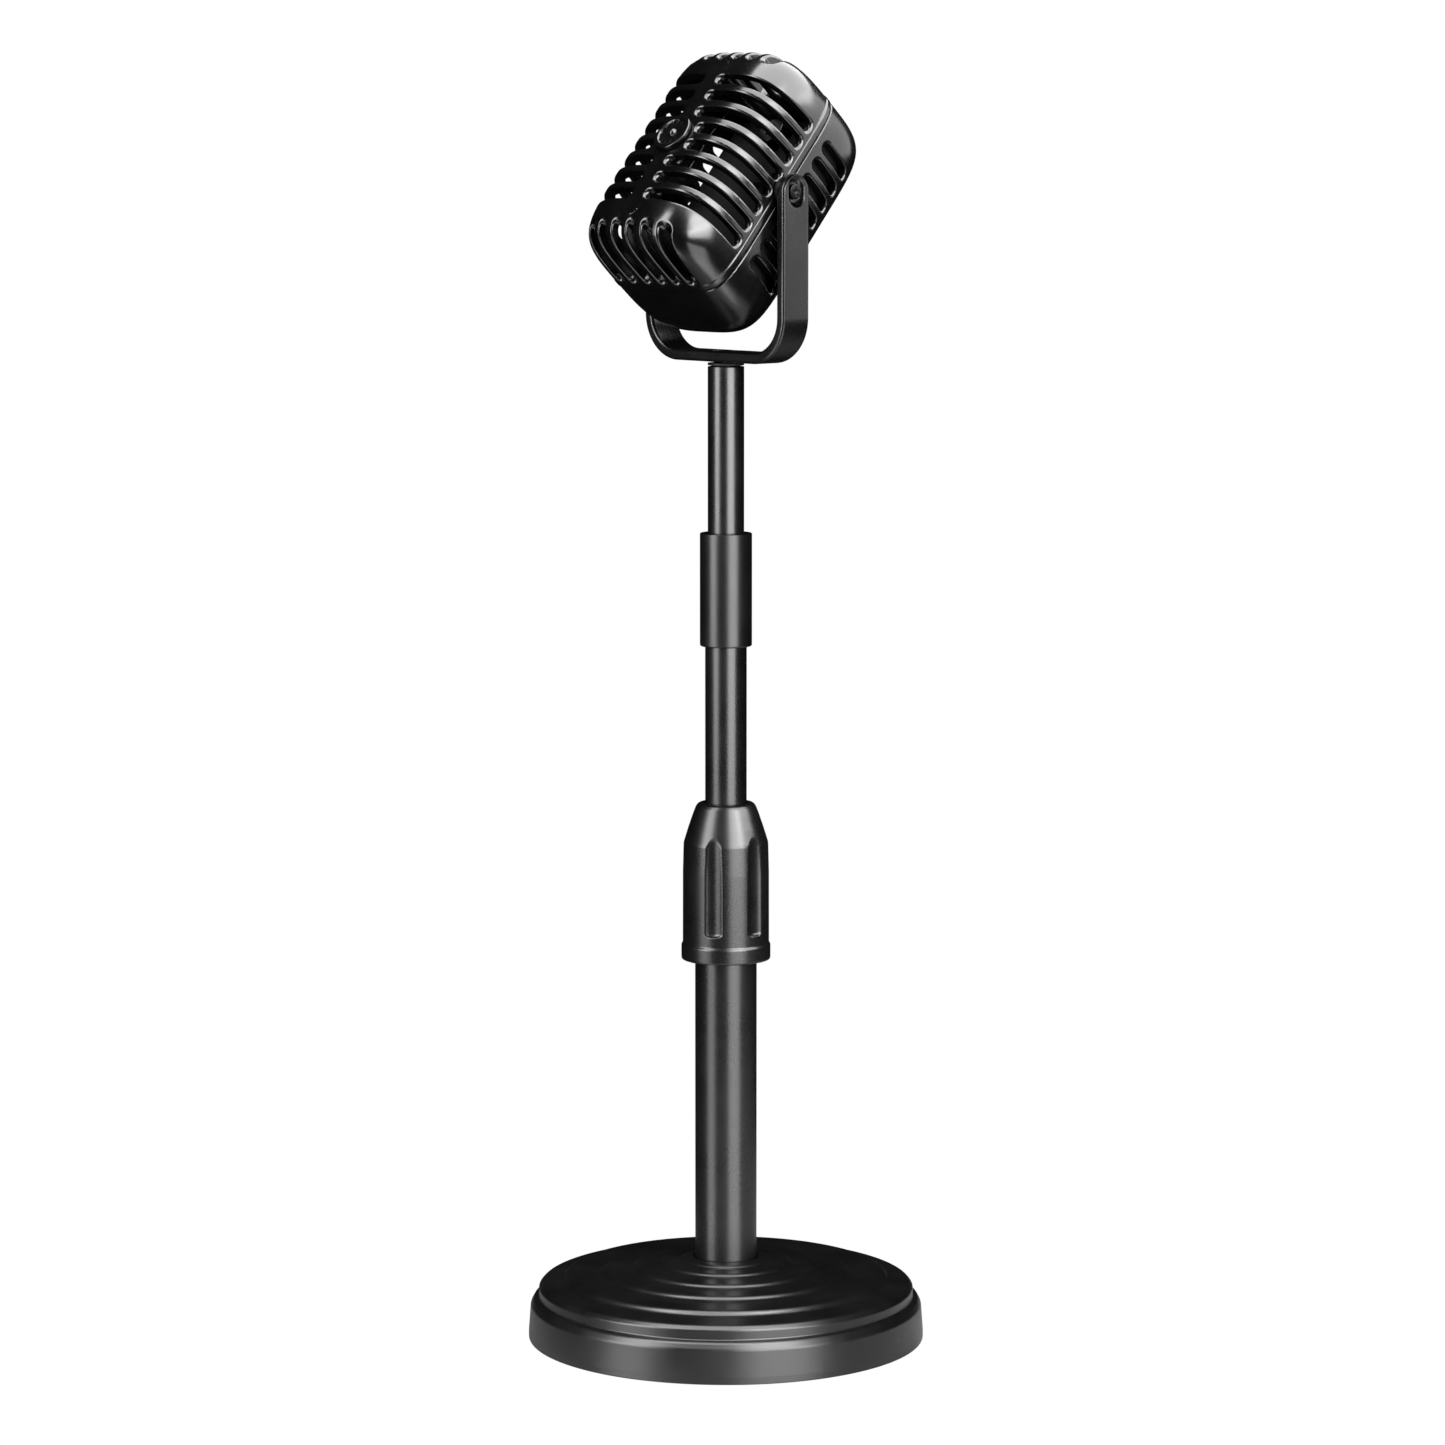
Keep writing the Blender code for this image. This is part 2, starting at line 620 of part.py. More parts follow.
def make_shells(body, looks):
    inner_half = tuple(size - HEAD_WALL for size in HEAD_HALF)
    outer_form = rounded_body("head_form", HEAD_HALF)
    inner_form = add_piece("head_hollow", rounded_body("head_hollow", inner_half), None, body)
    front_face = HEAD_CENTRE.y - HEAD_HALF[1]
    rear_face = HEAD_CENTRE.y + HEAD_HALF[1]

    bore = [(0.0, -30.0), (2.6, -30.0), (2.6, 30.0), (0.0, 30.0)]
    mesh = turned_mesh("shell_pivot_hole", bore, 16, place=along_x(Vector((0.0, 0.0, 0.0))))
    pivot_hole = add_piece("shell_pivot_hole", mesh, None, body)

    front = add_piece("front_shell", outer_form, looks["head_gloss"], body)
    boolean(front, inner_form, "DIFFERENCE")
    mesh = post_rods("front_posts", FRONT_POST_RADIUS, front_face + 0.8, -1.6, 12)
    boolean(front, add_piece("front_posts", mesh, None, body), "UNION")
    boolean(front, add_piece("front_slots", front_slots(), None, body), "DIFFERENCE")
    mesh = post_rods("front_pilots", 1.4, -14.0, 1.0, 10)
    boolean(front, add_piece("front_pilots", mesh, None, body), "DIFFERENCE")
    boolean(front, pivot_hole, "DIFFERENCE")
    boolean(front, add_piece("rear_half", half_space("rear_half", 1.0), None, body), "DIFFERENCE")

    rear = add_piece("rear_shell", outer_form.copy(), looks["head_gloss"], body)
    boolean(rear, inner_form, "DIFFERENCE")
    mesh = post_rods("rear_posts", REAR_POST_RADIUS, 1.6, rear_face - 0.8, 14)
    boolean(rear, add_piece("rear_posts", mesh, None, body), "UNION")
    boolean(rear, add_piece("rear_slots", rear_slots(), None, body), "DIFFERENCE")
    mesh = post_rods("rear_shank_holes", 1.4, 0.5, 8.0, 10)
    boolean(rear, add_piece("rear_shank_holes", mesh, None, body), "DIFFERENCE")
    mesh = post_rods("rear_head_wells", 2.7, 6.0, rear_face + 2.0, 14)
    boolean(rear, add_piece("rear_head_wells", mesh, None, body), "DIFFERENCE")
    boolean(rear, pivot_hole, "DIFFERENCE")
    boolean(rear, add_piece("front_half", half_space("front_half", -1.0), None, body), "DIFFERENCE")


def make_filler(body, looks):
    """A plain block that fills the rear shell and slips over its two screw posts."""
    half = tuple(size - HEAD_WALL - FILLER_GAP for size in HEAD_HALF)
    filler = add_piece("filler_block", rounded_body("filler_block", half), looks["filler_matt"], body)
    bm = bmesh.new()
    bmesh.ops.create_cube(bm, size=100.0)
    bmesh.ops.translate(bm, vec=(0.0, HEAD_CENTRE.y + FILLER_FRONT - 50.0, 0.0), verts=bm.verts)
    mesh = to_mesh("filler_front_half", bm)
    boolean(filler, add_piece("filler_front_half", mesh, None, body), "DIFFERENCE")
    mesh = post_rods("filler_post_holes", REAR_POST_RADIUS + GAP, 0.0, 30.0, 14)
    boolean(filler, add_piece("filler_post_holes", mesh, None, body), "DIFFERENCE")


def make_head_fittings(body, looks):
    screw = [(0.0, -8.6), (2.2, -8.6), (2.2, -6.4), (1.0, -6.4), (1.0, 11.0), (0.4, 12.0), (0.0, 12.0)]
    for name, height in (("shell_screw_top", POST_OFFSET), ("shell_screw_bottom", -POST_OFFSET)):
        place = along_y(Vector((0.0, 0.0, height + HEAD_CENTRE.z)))
        add_piece(name, turned_mesh(name, screw, 12, place=place), looks["screw_steel"], body)

    face = HEAD_HALF[1] + GAP
    badge = [(0.0, face), (BADGE_RADIUS, face), (BADGE_RADIUS, face + 0.5), (BADGE_RADIUS - 0.5, face + 0.9)]
    badge += [(BADGE_RADIUS - 1.4, face + 0.9), (BADGE_RADIUS - 1.8, face + 0.6), (0.0, face + 0.6)]
    mesh = turned_mesh("front_badge", badge, 24, place=along_y(HEAD_CENTRE))
    add_piece("front_badge", mesh, looks["badge_black"], body)

    wall_inside = HEAD_HALF[0] - HEAD_WALL
    flange = wall_inside - GAP
    boss = [(1.5, flange - 5.4), (3.2, flange - 5.4), (3.2, flange - 1.4), (4.6, flange - 1.4), (4.6, flange)]
    boss += [(2.3, flange), (2.3, HEAD_HALF[0] - 0.1), (1.5, HEAD_HALF[0] - 0.1)]
    arm_inner = YOKE_OUTER_WIDTH / 2 - YOKE_THICKNESS
    washer = tube_profile(3.8, 1.6, HEAD_HALF[0] + GAP, arm_inner - GAP)
    recess = YOKE_OUTER_WIDTH / 2 - RECESS_DEPTH
    screw = [(0.0, 14.0), (0.5, 14.0), (1.2, 15.0), (1.2, recess + 0.2), (1.85, recess + 0.2)]
    screw += [(1.85, recess + 0.7), (1.4, recess + 0.95), (0.0, recess + 0.95)]
    for side, mirrored in (("right", False), ("left", True)):
        place = along_x(Vector((0.0, 0.0, 0.0)), mirrored)
        for kind, outline, segments, look in (("pivot_boss", boss, 16, "screw_steel"),
                                              ("friction_washer", washer, 16, "bush_nylon"),
                                              ("pivot_screw", screw, 12, "screw_steel")):
            name = f"{kind}_{side}"
            add_piece(name, turned_mesh(name, outline, segments, place=place), looks[look], body)


# ---------------------------------------------------------------- assembly

def main():
    clear_scene()
    looks = {
        "head_gloss": finish("head_gloss", (0.010, 0.010, 0.011), 0.18),
        "badge_black": finish("badge_black", (0.012, 0.012, 0.013), 0.22),
        "yoke_satin": finish("yoke_satin", (0.014, 0.014, 0.015), 0.33),
        "sleeve_satin": finish("sleeve_satin", (0.013, 0.013, 0.014), 0.38),
        "collar_satin": finish("collar_satin", (0.012, 0.012, 0.013), 0.36),
        "base_satin": finish("base_satin", (0.012, 0.012, 0.013), 0.40),
        "tube_black": finish("tube_black", (0.012, 0.012, 0.013), 0.34, 0.2),
        "filler_matt": finish("filler_matt", (0.008, 0.008, 0.008), 0.80),
        "bush_nylon": finish("bush_nylon", (0.020, 0.020, 0.021), 0.50),
        "brass": finish("brass", (0.55, 0.40, 0.14), 0.30, 1.0),
        "screw_steel": finish("screw_steel", (0.05, 0.05, 0.055), 0.35, 1.0),
        "weight_iron": finish("weight_iron", (0.18, 0.18, 0.19), 0.60, 1.0),
        "pad_foam": finish("pad_foam", (0.03, 0.03, 0.03), 0.90),
    }
    stand = body_frame("stand", (0.0, 0.0, 0.0))
    collar = body_frame("collar_axis", (0.0, 0.0, 0.0), parent=stand)
    mid = body_frame("mid_stage", (0.0, 0.0, 0.0), parent=stand)
    upper = body_frame("upper_stage", (0.0, 0.0, 0.0), parent=mid)
    swivel = body_frame("yoke_swivel", (0.0, 0.0, YOKE_BOTTOM), parent=upper)
    pivot = body_frame("head_pivot", (0.0, 0.0, PIVOT_HEIGHT), -HEAD_TILT, parent=swivel)

    make_base(stand, looks)
    make_lower_tube(stand, looks)
    make_collar(collar, looks)
    make_mid_stage(mid, looks)
    make_upper_stage(upper, looks)
    make_yoke(swivel, looks)
    make_shells(pivot, looks)
    make_filler(pivot, looks)
    make_head_fittings(pivot, looks)


main()
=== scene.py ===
"""Looks of the toy microphone: a slotted head in a yoke, on a telescopic stand.

Every shape is drawn in millimetres and scaled to metres. Turned pieces are outlines with
rounded corners, spun about the stand's axis. The head, the yoke, the collar and the screw
heads are distance fields, which a grid turns into smooth meshes with true normals.
"""
import json
import math

import bpy
import numpy as np
from mathutils import Matrix, Vector


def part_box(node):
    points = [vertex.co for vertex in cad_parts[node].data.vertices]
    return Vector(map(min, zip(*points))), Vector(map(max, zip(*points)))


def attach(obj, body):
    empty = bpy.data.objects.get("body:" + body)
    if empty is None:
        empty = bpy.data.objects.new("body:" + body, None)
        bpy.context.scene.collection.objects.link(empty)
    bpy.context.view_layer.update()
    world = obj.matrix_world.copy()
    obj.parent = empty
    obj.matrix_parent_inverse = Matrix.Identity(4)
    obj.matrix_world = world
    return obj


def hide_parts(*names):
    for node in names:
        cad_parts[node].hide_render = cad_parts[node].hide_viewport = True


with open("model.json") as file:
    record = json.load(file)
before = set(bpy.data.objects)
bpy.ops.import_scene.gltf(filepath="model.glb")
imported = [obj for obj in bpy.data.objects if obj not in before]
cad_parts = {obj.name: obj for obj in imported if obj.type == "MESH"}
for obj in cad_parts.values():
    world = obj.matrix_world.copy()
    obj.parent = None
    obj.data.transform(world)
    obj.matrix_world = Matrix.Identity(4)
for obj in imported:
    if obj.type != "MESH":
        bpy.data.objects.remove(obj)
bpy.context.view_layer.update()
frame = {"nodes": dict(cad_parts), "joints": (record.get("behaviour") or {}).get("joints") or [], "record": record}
JOINTS = {joint["name"]: joint for joint in frame["joints"]}
PIECES = {}                  # body: the pieces that ride on it

MM = 0.001
GRID_SCALE = 1.0
SPIN_STEPS = 192

# Head, as the CAD has it
HEAD_TILT = 41.0
HEAD_HALF = (20.85, 21.7, 31.1)
SECTION_POWER = 3.5
PROFILE_POWER = 6.8
HEAD_WALL = 2.5
HEAD_CENTRE = (0.0, -0.4, -1.0)
SEAM = 0.4                   # the seam's place behind the body's middle, as y
SEAM_GAP = 0.3
RIM_WIDTH = 1.9              # raised rim of the front shell along the seam
RIM_HEIGHT = 0.16
SLOT_ROWS = 8
SLOT_PITCH = 5.2
SLOT_RADIUS = 1.6
SLOT_EDGE = 0.45             # rounding along a slot, and at its ends
SLOT_END_EDGE = 1.0
SPINE_HALF = 2.75
BADGE_SEAT_HALF = 6.3
FRONT_SLOT_END = 3.1
REAR_SLOT_START = 3.6
REAR_SLOT_END = 15.0
END_SLOTS = 6
END_SLOT_TIP = 25.7
END_SLOT_BACK = 2.2
POST_OFFSET = 22.0
PIVOT_HOLE = 2.6
BADGE_RADIUS = 5.2
SHELL_SCREW_BACK = 9.0       # the shell screws' heads reach back to here
FILLER_FRONT = 5.6
FILLER_GAP = 0.6

# Base: radius, height and riser of each ring on its top
BASE_RINGS = ((40.2, 16.9, 1.3), (30.5, 18.1, 1.1), (22.9, 19.2, 1.0), (15.8, 20.2, 0.9), (10.6, 21.0, 0.8))
RING_RISE_RUN = 0.9          # how far each riser reaches outwards
SOCKET_GAP = 0.12            # round the lower tube
SOCKET_FLOOR = 8.2
SOCKET_FOOT = 6.0
SOCKET_WALL = 10.5           # outer radius of the socket inside the base
SCREW_HOLE = 2.2

# Tubes: each tube's body and bore radius, and the sleeve round the friction bush
TUBES = (("lower_tube", "stand", 6.5), ("mid_tube", "mid_stage", 4.8), ("upper_tube", "upper_stage", 4.125))
SLEEVE_BORE = 5.5
SLEEVE_POCKET = 5.9
SLEEVE_STEP = 193.1          # height where the pocket starts

# Yoke
YOKE_THICKNESS = 2.7
YOKE_CORNER = 11.5
RECESS_DEPTH = 1.1
RECESS_WIDTH = 4.2
RECESS_HEIGHT = 6.4

# Collar
COLLAR_GROOVES = 6
GROOVE_CENTRE = 15.05        # each groove is scooped by a round bar this far from the axis
GROOVE_RADIUS = 5.0
GROOVE_LOW = 6.9             # height of the grooves' lower end above the collar's foot
COLLAR_OUTLINE = ((0.0, 10.85), (22.4, 10.8), (29.5, 10.62), (30.0, 10.5), (33.4, 9.45), (36.9, 8.25),
                  (38.6, 7.6), (39.7, 6.9))      # height above the foot and radius
COLLAR_BORE = ((0.0, 9.1), (29.9, 9.1), (36.7, 6.7), (36.8, 5.5))
FLANGE_RADIUS = 11.2
FLANGE_HEIGHT = 4.1

# Studio, in metres
FLOOR_RADIUS = 20.0
FLOOR_SIDES = 96
FLOOR_DROP = 0.0003
# Centre of a painted pool of light on the floor: here the floor's colour, as rays other than the camera's see it,
# is brightest
PAINTED_POOL_CENTRE = (0.15, 0.03, 0.0)
PAINTED_POOL_FADE = (0.12, 0.33)     # the painted pool of light is full inside the first distance and gone at the second


# ---------------------------------------------------------------- meshes from outlines

def rounded_outline(corners, arc_steps=5):
    """Points and outward normals along an outline of (radius, height, rounding) corners.

    The outline runs anticlockwise in the (radius, height) plane. Where it starts and ends
    on the axis it is left open, and otherwise it closes on itself.
    """
    count = len(corners)
    is_open = corners[0][0] == 0.0 and corners[-1][0] == 0.0
    places = [Vector(corner[:2]) for corner in corners]
    points = []
    for index, here in enumerate(places):
        rounding = corners[index][2]
        before = places[index - 1]
        after = places[(index + 1) % count]
        if is_open and index in (0, count - 1):
            direction = (after - here) if index == 0 else (here - before)
            direction.normalize()
            points.append((here.x, here.y, direction.y, -direction.x))
            continue
        into = (here - before).normalized()
        out = (after - here).normalized()
        turn = math.atan2(into.x * out.y - into.y * out.x, into.dot(out))
        half_tangent = abs(math.tan(turn / 2))
        limit = 0.48 * min((here - before).length, (after - here).length)
        bend = min(max(rounding, 0.02), limit / max(half_tangent, 1e-6))
        sign = 1.0 if turn > 0 else -1.0
        start = here - into * (bend * half_tangent)
        centre = start - Vector((into.y, -into.x)) * (bend * sign)
        for step in range(arc_steps + 1):
            angle = turn * step / arc_steps
            along = Matrix.Rotation(angle, 2) @ into
            normal = Vector((along.y, -along.x))
            place = centre + normal * (bend * sign)
            points.append((place.x, place.y, normal.x, normal.y))
    return points, is_open


def mesh_object(name, verts, faces, normals, place=None):
    """An object from points in millimetres, shaded with the given normals."""
    mesh = bpy.data.meshes.new(name)
    mesh.from_pydata((np.asarray(verts) * MM).tolist(), [], [tuple(face) for face in faces])
    mesh.shade_smooth()
    mesh.normals_split_custom_set_from_vertices(np.asarray(normals).tolist())
    if place is not None:
        mesh.transform(place)
    thing = bpy.data.objects.new(name, mesh)
    bpy.context.scene.collection.objects.link(thing)
    return thing


def turned(name, corners, place=None, steps=None, arc_steps=5):
    """Spin a rounded outline about Z."""
    steps = steps or SPIN_STEPS
    points, is_open = rounded_outline(corners, arc_steps)
    verts, normals, rings = [], [], []
    for radius, height, out, up in points:
        if radius < 1e-6:
            rings.append([len(verts)] * steps)
            verts.append((0.0, 0.0, height))
            normals.append((0.0, 0.0, 1.0 if up > 0 else -1.0))
            continue
        ring = []
        for step in range(steps):
            angle = 2 * math.pi * step / steps
            ring.append(len(verts))
            verts.append((radius * math.cos(angle), radius * math.sin(angle), height))
            normals.append((out * math.cos(angle), out * math.sin(angle), up))
        rings.append(ring)
    faces = []
    pairs = list(zip(rings, rings[1:]))
    if not is_open:
        pairs.append((rings[-1], rings[0]))
    for here, there in pairs:
        for step in range(steps):
            after = (step + 1) % steps
            face = list(dict.fromkeys((here[step], here[after], there[after], there[step])))
            faces.append(face)
    return mesh_object(name, verts, faces, normals, place)


# ---------------------------------------------------------------- meshes from fields

def field_gradient(field, places, reach=0.03):
    """The field and its slope at places, by central differences."""
    slope = np.empty_like(places)
    for axis in range(3):
        step = np.zeros(3)
        step[axis] = reach
        ahead = field(*(places + step).T)
        behind = field(*(places - step).T)
        slope[:, axis] = (ahead - behind) / (2 * reach)
    return field(*places.T), slope


def carved(name, field, low, high, step, place=None):
    """Mesh the surface where a field crosses zero; the field is negative inside."""
    step = step * GRID_SCALE
    axes = [np.arange(a, b + step, step) for a, b in zip(low, high)]
    value = field(*np.meshgrid(*axes, indexing="ij", sparse=True))
    value = np.broadcast_to(value, [len(axis) for axis in axes])
    inside = value < 0
    cell_shape = value.shape
    quads, crossings = [], []
    for axis in range(3):
        first, second = (axis + 1) % 3, (axis + 2) % 3
        near = [slice(None)] * 3
        far = [slice(None)] * 3
        near[axis] = slice(None, -1)
        far[axis] = slice(1, None)
        edge = np.argwhere(inside[tuple(near)] != inside[tuple(far)])
        end = edge.copy()
        end[:, axis] += 1
        start_value = value[tuple(edge.T)]
        end_value = value[tuple(end.T)]
        crossing = edge.astype(float)
        crossing[:, axis] += start_value / (start_value - end_value)
        cells = []
        for back_first, back_second in ((1, 1), (0, 1), (0, 0), (1, 0)):
            cell = edge.copy()
            cell[:, first] -= back_first
            cell[:, second] -= back_second
            cells.append(np.ravel_multi_index(cell.T, cell_shape))
        cells = np.stack(cells, 1)
        leaving = start_value < 0
        cells[~leaving] = cells[~leaving][:, ::-1]
        quads.append(cells)
        crossings.append(np.repeat(crossing, 4, axis=0))
    quads = np.concatenate(quads)
    crossings = np.concatenate(crossings)
    ids, index = np.unique(quads.ravel(), return_inverse=True)
    shares = np.bincount(index, minlength=len(ids))
    places = np.stack([np.bincount(index, crossings[:, axis]) / shares for axis in range(3)], 1)
    places = np.array(low) + places * step
    for _ in range(5):
        level, slope = field_gradient(field, places)
        size = np.maximum((slope ** 2).sum(1), 0.05)
        move = -slope * (level / size)[:, None]
        length = np.linalg.norm(move, axis=1)
        places += move * np.minimum(1.0, 0.4 * step / np.maximum(length, 1e-9))[:, None]
    _, slope = field_gradient(field, places)
    normals = slope / np.maximum(np.linalg.norm(slope, axis=1), 1e-9)[:, None]
    return mesh_object(name, places, index.reshape(-1, 4).tolist(), normals, place)


def round_meet(first, second, radius):
    """Where two solids meet (both fields negative), with the edge rounded."""
    return (np.minimum(-radius, np.maximum(first, second))
            + np.hypot(np.maximum(first + radius, 0), np.maximum(second + radius, 0)))


def round_join(first, second, radius):
    """Two solids joined, with a fillet between them."""
    return -round_meet(-first, -second, radius)


def round_cut(solid, cutter, radius):
    """A solid with a cutter taken away and the new edge rounded."""
    return round_meet(solid, -cutter, radius)


def nearest_line(value, count, pitch):
    """The nearest of a centred row of evenly spaced lines."""
    half = (count - 1) / 2
    return np.clip(np.round(value / pitch + half) - half, -half, half) * pitch


# ---------------------------------------------------------------- the head's fields

def head_depth(x, y, z):
    """Distance from the head's outer form, near its surface."""
    tiny = 1e-6
    across = np.abs(x) / HEAD_HALF[0] + tiny
    deep = np.abs(y) / HEAD_HALF[1] + tiny
    along = np.abs(z) / HEAD_HALF[2] + tiny
    section = (across ** SECTION_POWER + deep ** SECTION_POWER) ** (1 / SECTION_POWER)
    level = (section ** PROFILE_POWER + along ** PROFILE_POWER) ** (1 / PROFILE_POWER)
    by_section = (section / level) ** (PROFILE_POWER - 1)
    slope_x = by_section * (across / section) ** (SECTION_POWER - 1) / HEAD_HALF[0]
    slope_y = by_section * (deep / section) ** (SECTION_POWER - 1) / HEAD_HALF[1]
    slope_z = (along / level) ** (PROFILE_POWER - 1) / HEAD_HALF[2]
    return (level - 1) / np.sqrt(slope_x ** 2 + slope_y ** 2 + slope_z ** 2)


def head_wall(depth):
    """The shell's wall, from the outer form inwards."""
    return np.maximum(depth, -(depth + HEAD_WALL))


def post_span(x, y, z, radius, front, rear):
    """A round rod along Y at each screw post."""
    away = np.hypot(x, np.abs(z) - POST_OFFSET) - radius
    return np.maximum(away, np.maximum(front - y, y - rear))


def slot_edge(past):
    """The rounding of a slot's rim, softer towards its round ends."""
    return SLOT_EDGE + (SLOT_END_EDGE - SLOT_EDGE) * np.clip(past / SLOT_RADIUS, 0, 1)


def pivot_distance(y, z):
    """Distance from the pivot axis, in the head's own centred frame."""
    return np.hypot(y + HEAD_CENTRE[1], z + HEAD_CENTRE[2])


def front_field(x, y, z):
    depth = head_depth(x, y, z)
    rim = 0.5 - 0.5 * np.tanh((-y + SEAM - RIM_WIDTH) / 0.22)
    shell = head_wall(depth - RIM_HEIGHT * rim)
    shell = np.maximum(shell, -(depth + HEAD_WALL))
    post = post_span(x, y, z, 2.5, -HEAD_HALF[1] + 0.8, -1.2)
    shell = round_join(shell, post, 0.8)
    shell = round_cut(shell, post_span(x, y, z, 1.1, -13.6, 5.0), 0.2)

    row = nearest_line(z, SLOT_ROWS, SLOT_PITCH)
    start = np.where(np.abs(row) < SLOT_PITCH, BADGE_SEAT_HALF, SPINE_HALF)
    past_front = np.maximum(start + SLOT_RADIUS - np.abs(x), 0)
    past_side = np.maximum(y + FRONT_SLOT_END + SLOT_RADIUS, 0)
    sides = np.sqrt((z - row) ** 2 + past_front ** 2 + past_side ** 2) - SLOT_RADIUS
    shell = round_cut(shell, sides, slot_edge(past_front + past_side))

    column = nearest_line(x, END_SLOTS, SLOT_PITCH)
    past_tip = np.maximum(END_SLOT_TIP + SLOT_RADIUS - np.abs(z), 0)
    past_back = np.maximum(y + END_SLOT_BACK + SLOT_RADIUS, 0)
    ends = np.sqrt((x - column) ** 2 + past_tip ** 2 + past_back ** 2) - SLOT_RADIUS
    shell = round_cut(shell, ends, slot_edge(past_tip + past_back))

    shell = round_cut(shell, pivot_distance(y, z) - PIVOT_HOLE, 0.2)
    return round_meet(shell, y - (SEAM - SEAM_GAP / 2), 0.28)


def rear_field(x, y, z):
    depth = head_depth(x, y, z)
    shell = head_wall(depth)
    post = post_span(x, y, z, 3.8, 2.0, HEAD_HALF[1] - 0.8)
    shell = round_join(shell, post, 0.8)
    shell = round_cut(shell, post_span(x, y, z, 1.4, -2.0, 9.0), 0.2)
    shell = round_cut(shell, post_span(x, y, z, 2.7, 6.4, HEAD_HALF[1] + 5.0), 0.35)

    row = nearest_line(z, SLOT_ROWS, SLOT_PITCH)
    past_seam = np.maximum(REAR_SLOT_START + SLOT_RADIUS - y, 0)
    past_back = np.maximum(y - REAR_SLOT_END + SLOT_RADIUS, 0)
    sides = np.sqrt((z - row) ** 2 + past_seam ** 2 + past_back ** 2) - SLOT_RADIUS
    shell = round_cut(shell, sides, slot_edge(past_seam + past_back))

    shell = round_cut(shell, pivot_distance(y, z) - PIVOT_HOLE, 0.2)
    return round_meet(shell, (SEAM + SEAM_GAP / 2) - y, 0.28)


def filler_field(x, y, z):
    """The block that fills the rear shell, cleared round the screw posts."""
    block = round_meet(head_depth(x, y, z) + HEAD_WALL + FILLER_GAP, FILLER_FRONT - y, 0.5)
    return round_cut(block, post_span(x, y, z, 4.1, 0.0, 30.0), 0.3)


def badge_field(x, y, z):
    """A plain round badge: a raised rim round a shallow fluted dish."""
    away = np.hypot(x, z)
    turn = np.arctan2(z, x)
    face = -(HEAD_HALF[1] + 0.3)
    flutes = 0.16 * np.abs(np.sin(6 * turn)) * np.clip((away - 1.2) / 2.0, 0, 1)
    dish = face - 0.55 - flutes
    rim = face - 0.95
    ramp = np.clip((away - (BADGE_RADIUS - 1.5)) / 0.5, 0, 1)
    ramp = ramp * ramp * (3 - 2 * ramp)
    front = dish + (rim - dish) * ramp
    hub = np.hypot(away, y - (dish + 0.3)) - 1.15
    disc = round_meet(away - BADGE_RADIUS, front - y, 0.3)
    disc = round_join(disc, hub, 0.15)
    return np.maximum(disc, y - face)


def head_place(pivot):
    """From the upright head's centred frame to the world."""
    tilt = Matrix.Rotation(math.radians(-HEAD_TILT), 4, "X")
    return Matrix.Translation(pivot) @ tilt @ Matrix.Translation(Vector(HEAD_CENTRE) * MM)


# ---------------------------------------------------------------- yoke, collar and screws

def yoke_field_for(half_outer, bottom, pivot, half_width):
    """The U strip with rounded edges, recesses at the pivot and its three holes."""
    middle = half_outer - YOKE_THICKNESS / 2
    bend = YOKE_CORNER - YOKE_THICKNESS / 2
    bend_x = middle - bend
    bend_z = bottom + YOKE_CORNER

    def field(x, y, z):
        side = np.abs(x)
        in_bend = np.hypot(np.maximum(side - bend_x, 0), np.minimum(z - bend_z, 0)) - bend
        arm = side - middle
        crossbar = (bottom + YOKE_THICKNESS / 2) - z
        line = np.where(z > bend_z, arm, np.where(side < bend_x, crossbar, in_bend))
        inside_bend = (z <= bend_z) & (side >= bend_x)
        line = np.where(inside_bend, in_bend, line)
        thick = np.abs(line) - YOKE_THICKNESS / 2
        wide = np.hypot(y, np.maximum(z - pivot, 0)) - half_width
        strip = round_meet(thick, wide, 0.75)

        up = np.maximum(np.abs(z - pivot) - (RECESS_HEIGHT - RECESS_WIDTH) / 2, 0)
        recess = np.hypot(y, up) - RECESS_WIDTH / 2
        recess = round_meet(recess, (half_outer - RECESS_DEPTH) - side, 0.8)
        strip = round_cut(strip, recess, 1.0)
        strip = round_cut(strip, np.hypot(y, z - pivot) - 1.6, 0.15)

        top = bottom + YOKE_THICKNESS
        sink = (np.hypot(x, y) - 1.7 - np.clip((z - (top - 1.9)) / 1.55, 0, 1) * 1.8) * 0.7
        return round_cut(strip, sink, 0.15)

    return field


def collar_field_for(bottom, top):
    """The twist-lock collar: a turned body with long round-ended grooves and a flange."""
    height = top - bottom
    heights, radii = np.array(COLLAR_OUTLINE).T
    bore_heights, bore_radii = np.array(COLLAR_BORE).T

    def field(x, y, z):
        away = np.hypot(x, y)
        up = z - bottom
        outer = np.interp(up, heights, radii)
        steep = np.interp(up, heights, np.gradient(radii, heights))
        body = (away - outer) / np.sqrt(1 + steep ** 2)
        turn = np.arctan2(y, x)
        groove_angle = 2 * math.pi / COLLAR_GROOVES
        off = turn - np.round(turn / groove_angle) * groove_angle
        scoop = np.hypot(away * np.sin(off), away * np.cos(off) - GROOVE_CENTRE) - GROOVE_RADIUS
        scoop = round_meet(scoop, GROOVE_LOW - up, 0.9)
        body = round_cut(body, scoop, 0.2)
        flange = round_meet(away - FLANGE_RADIUS, up - FLANGE_HEIGHT, 0.5)
        body = round_join(body, flange, 0.35)
        body = round_meet(body, np.maximum(-up, up - height), 0.55)
        bore = np.interp(up, bore_heights, bore_radii)
        return np.maximum(body, (bore - away) * 0.8)

    return field


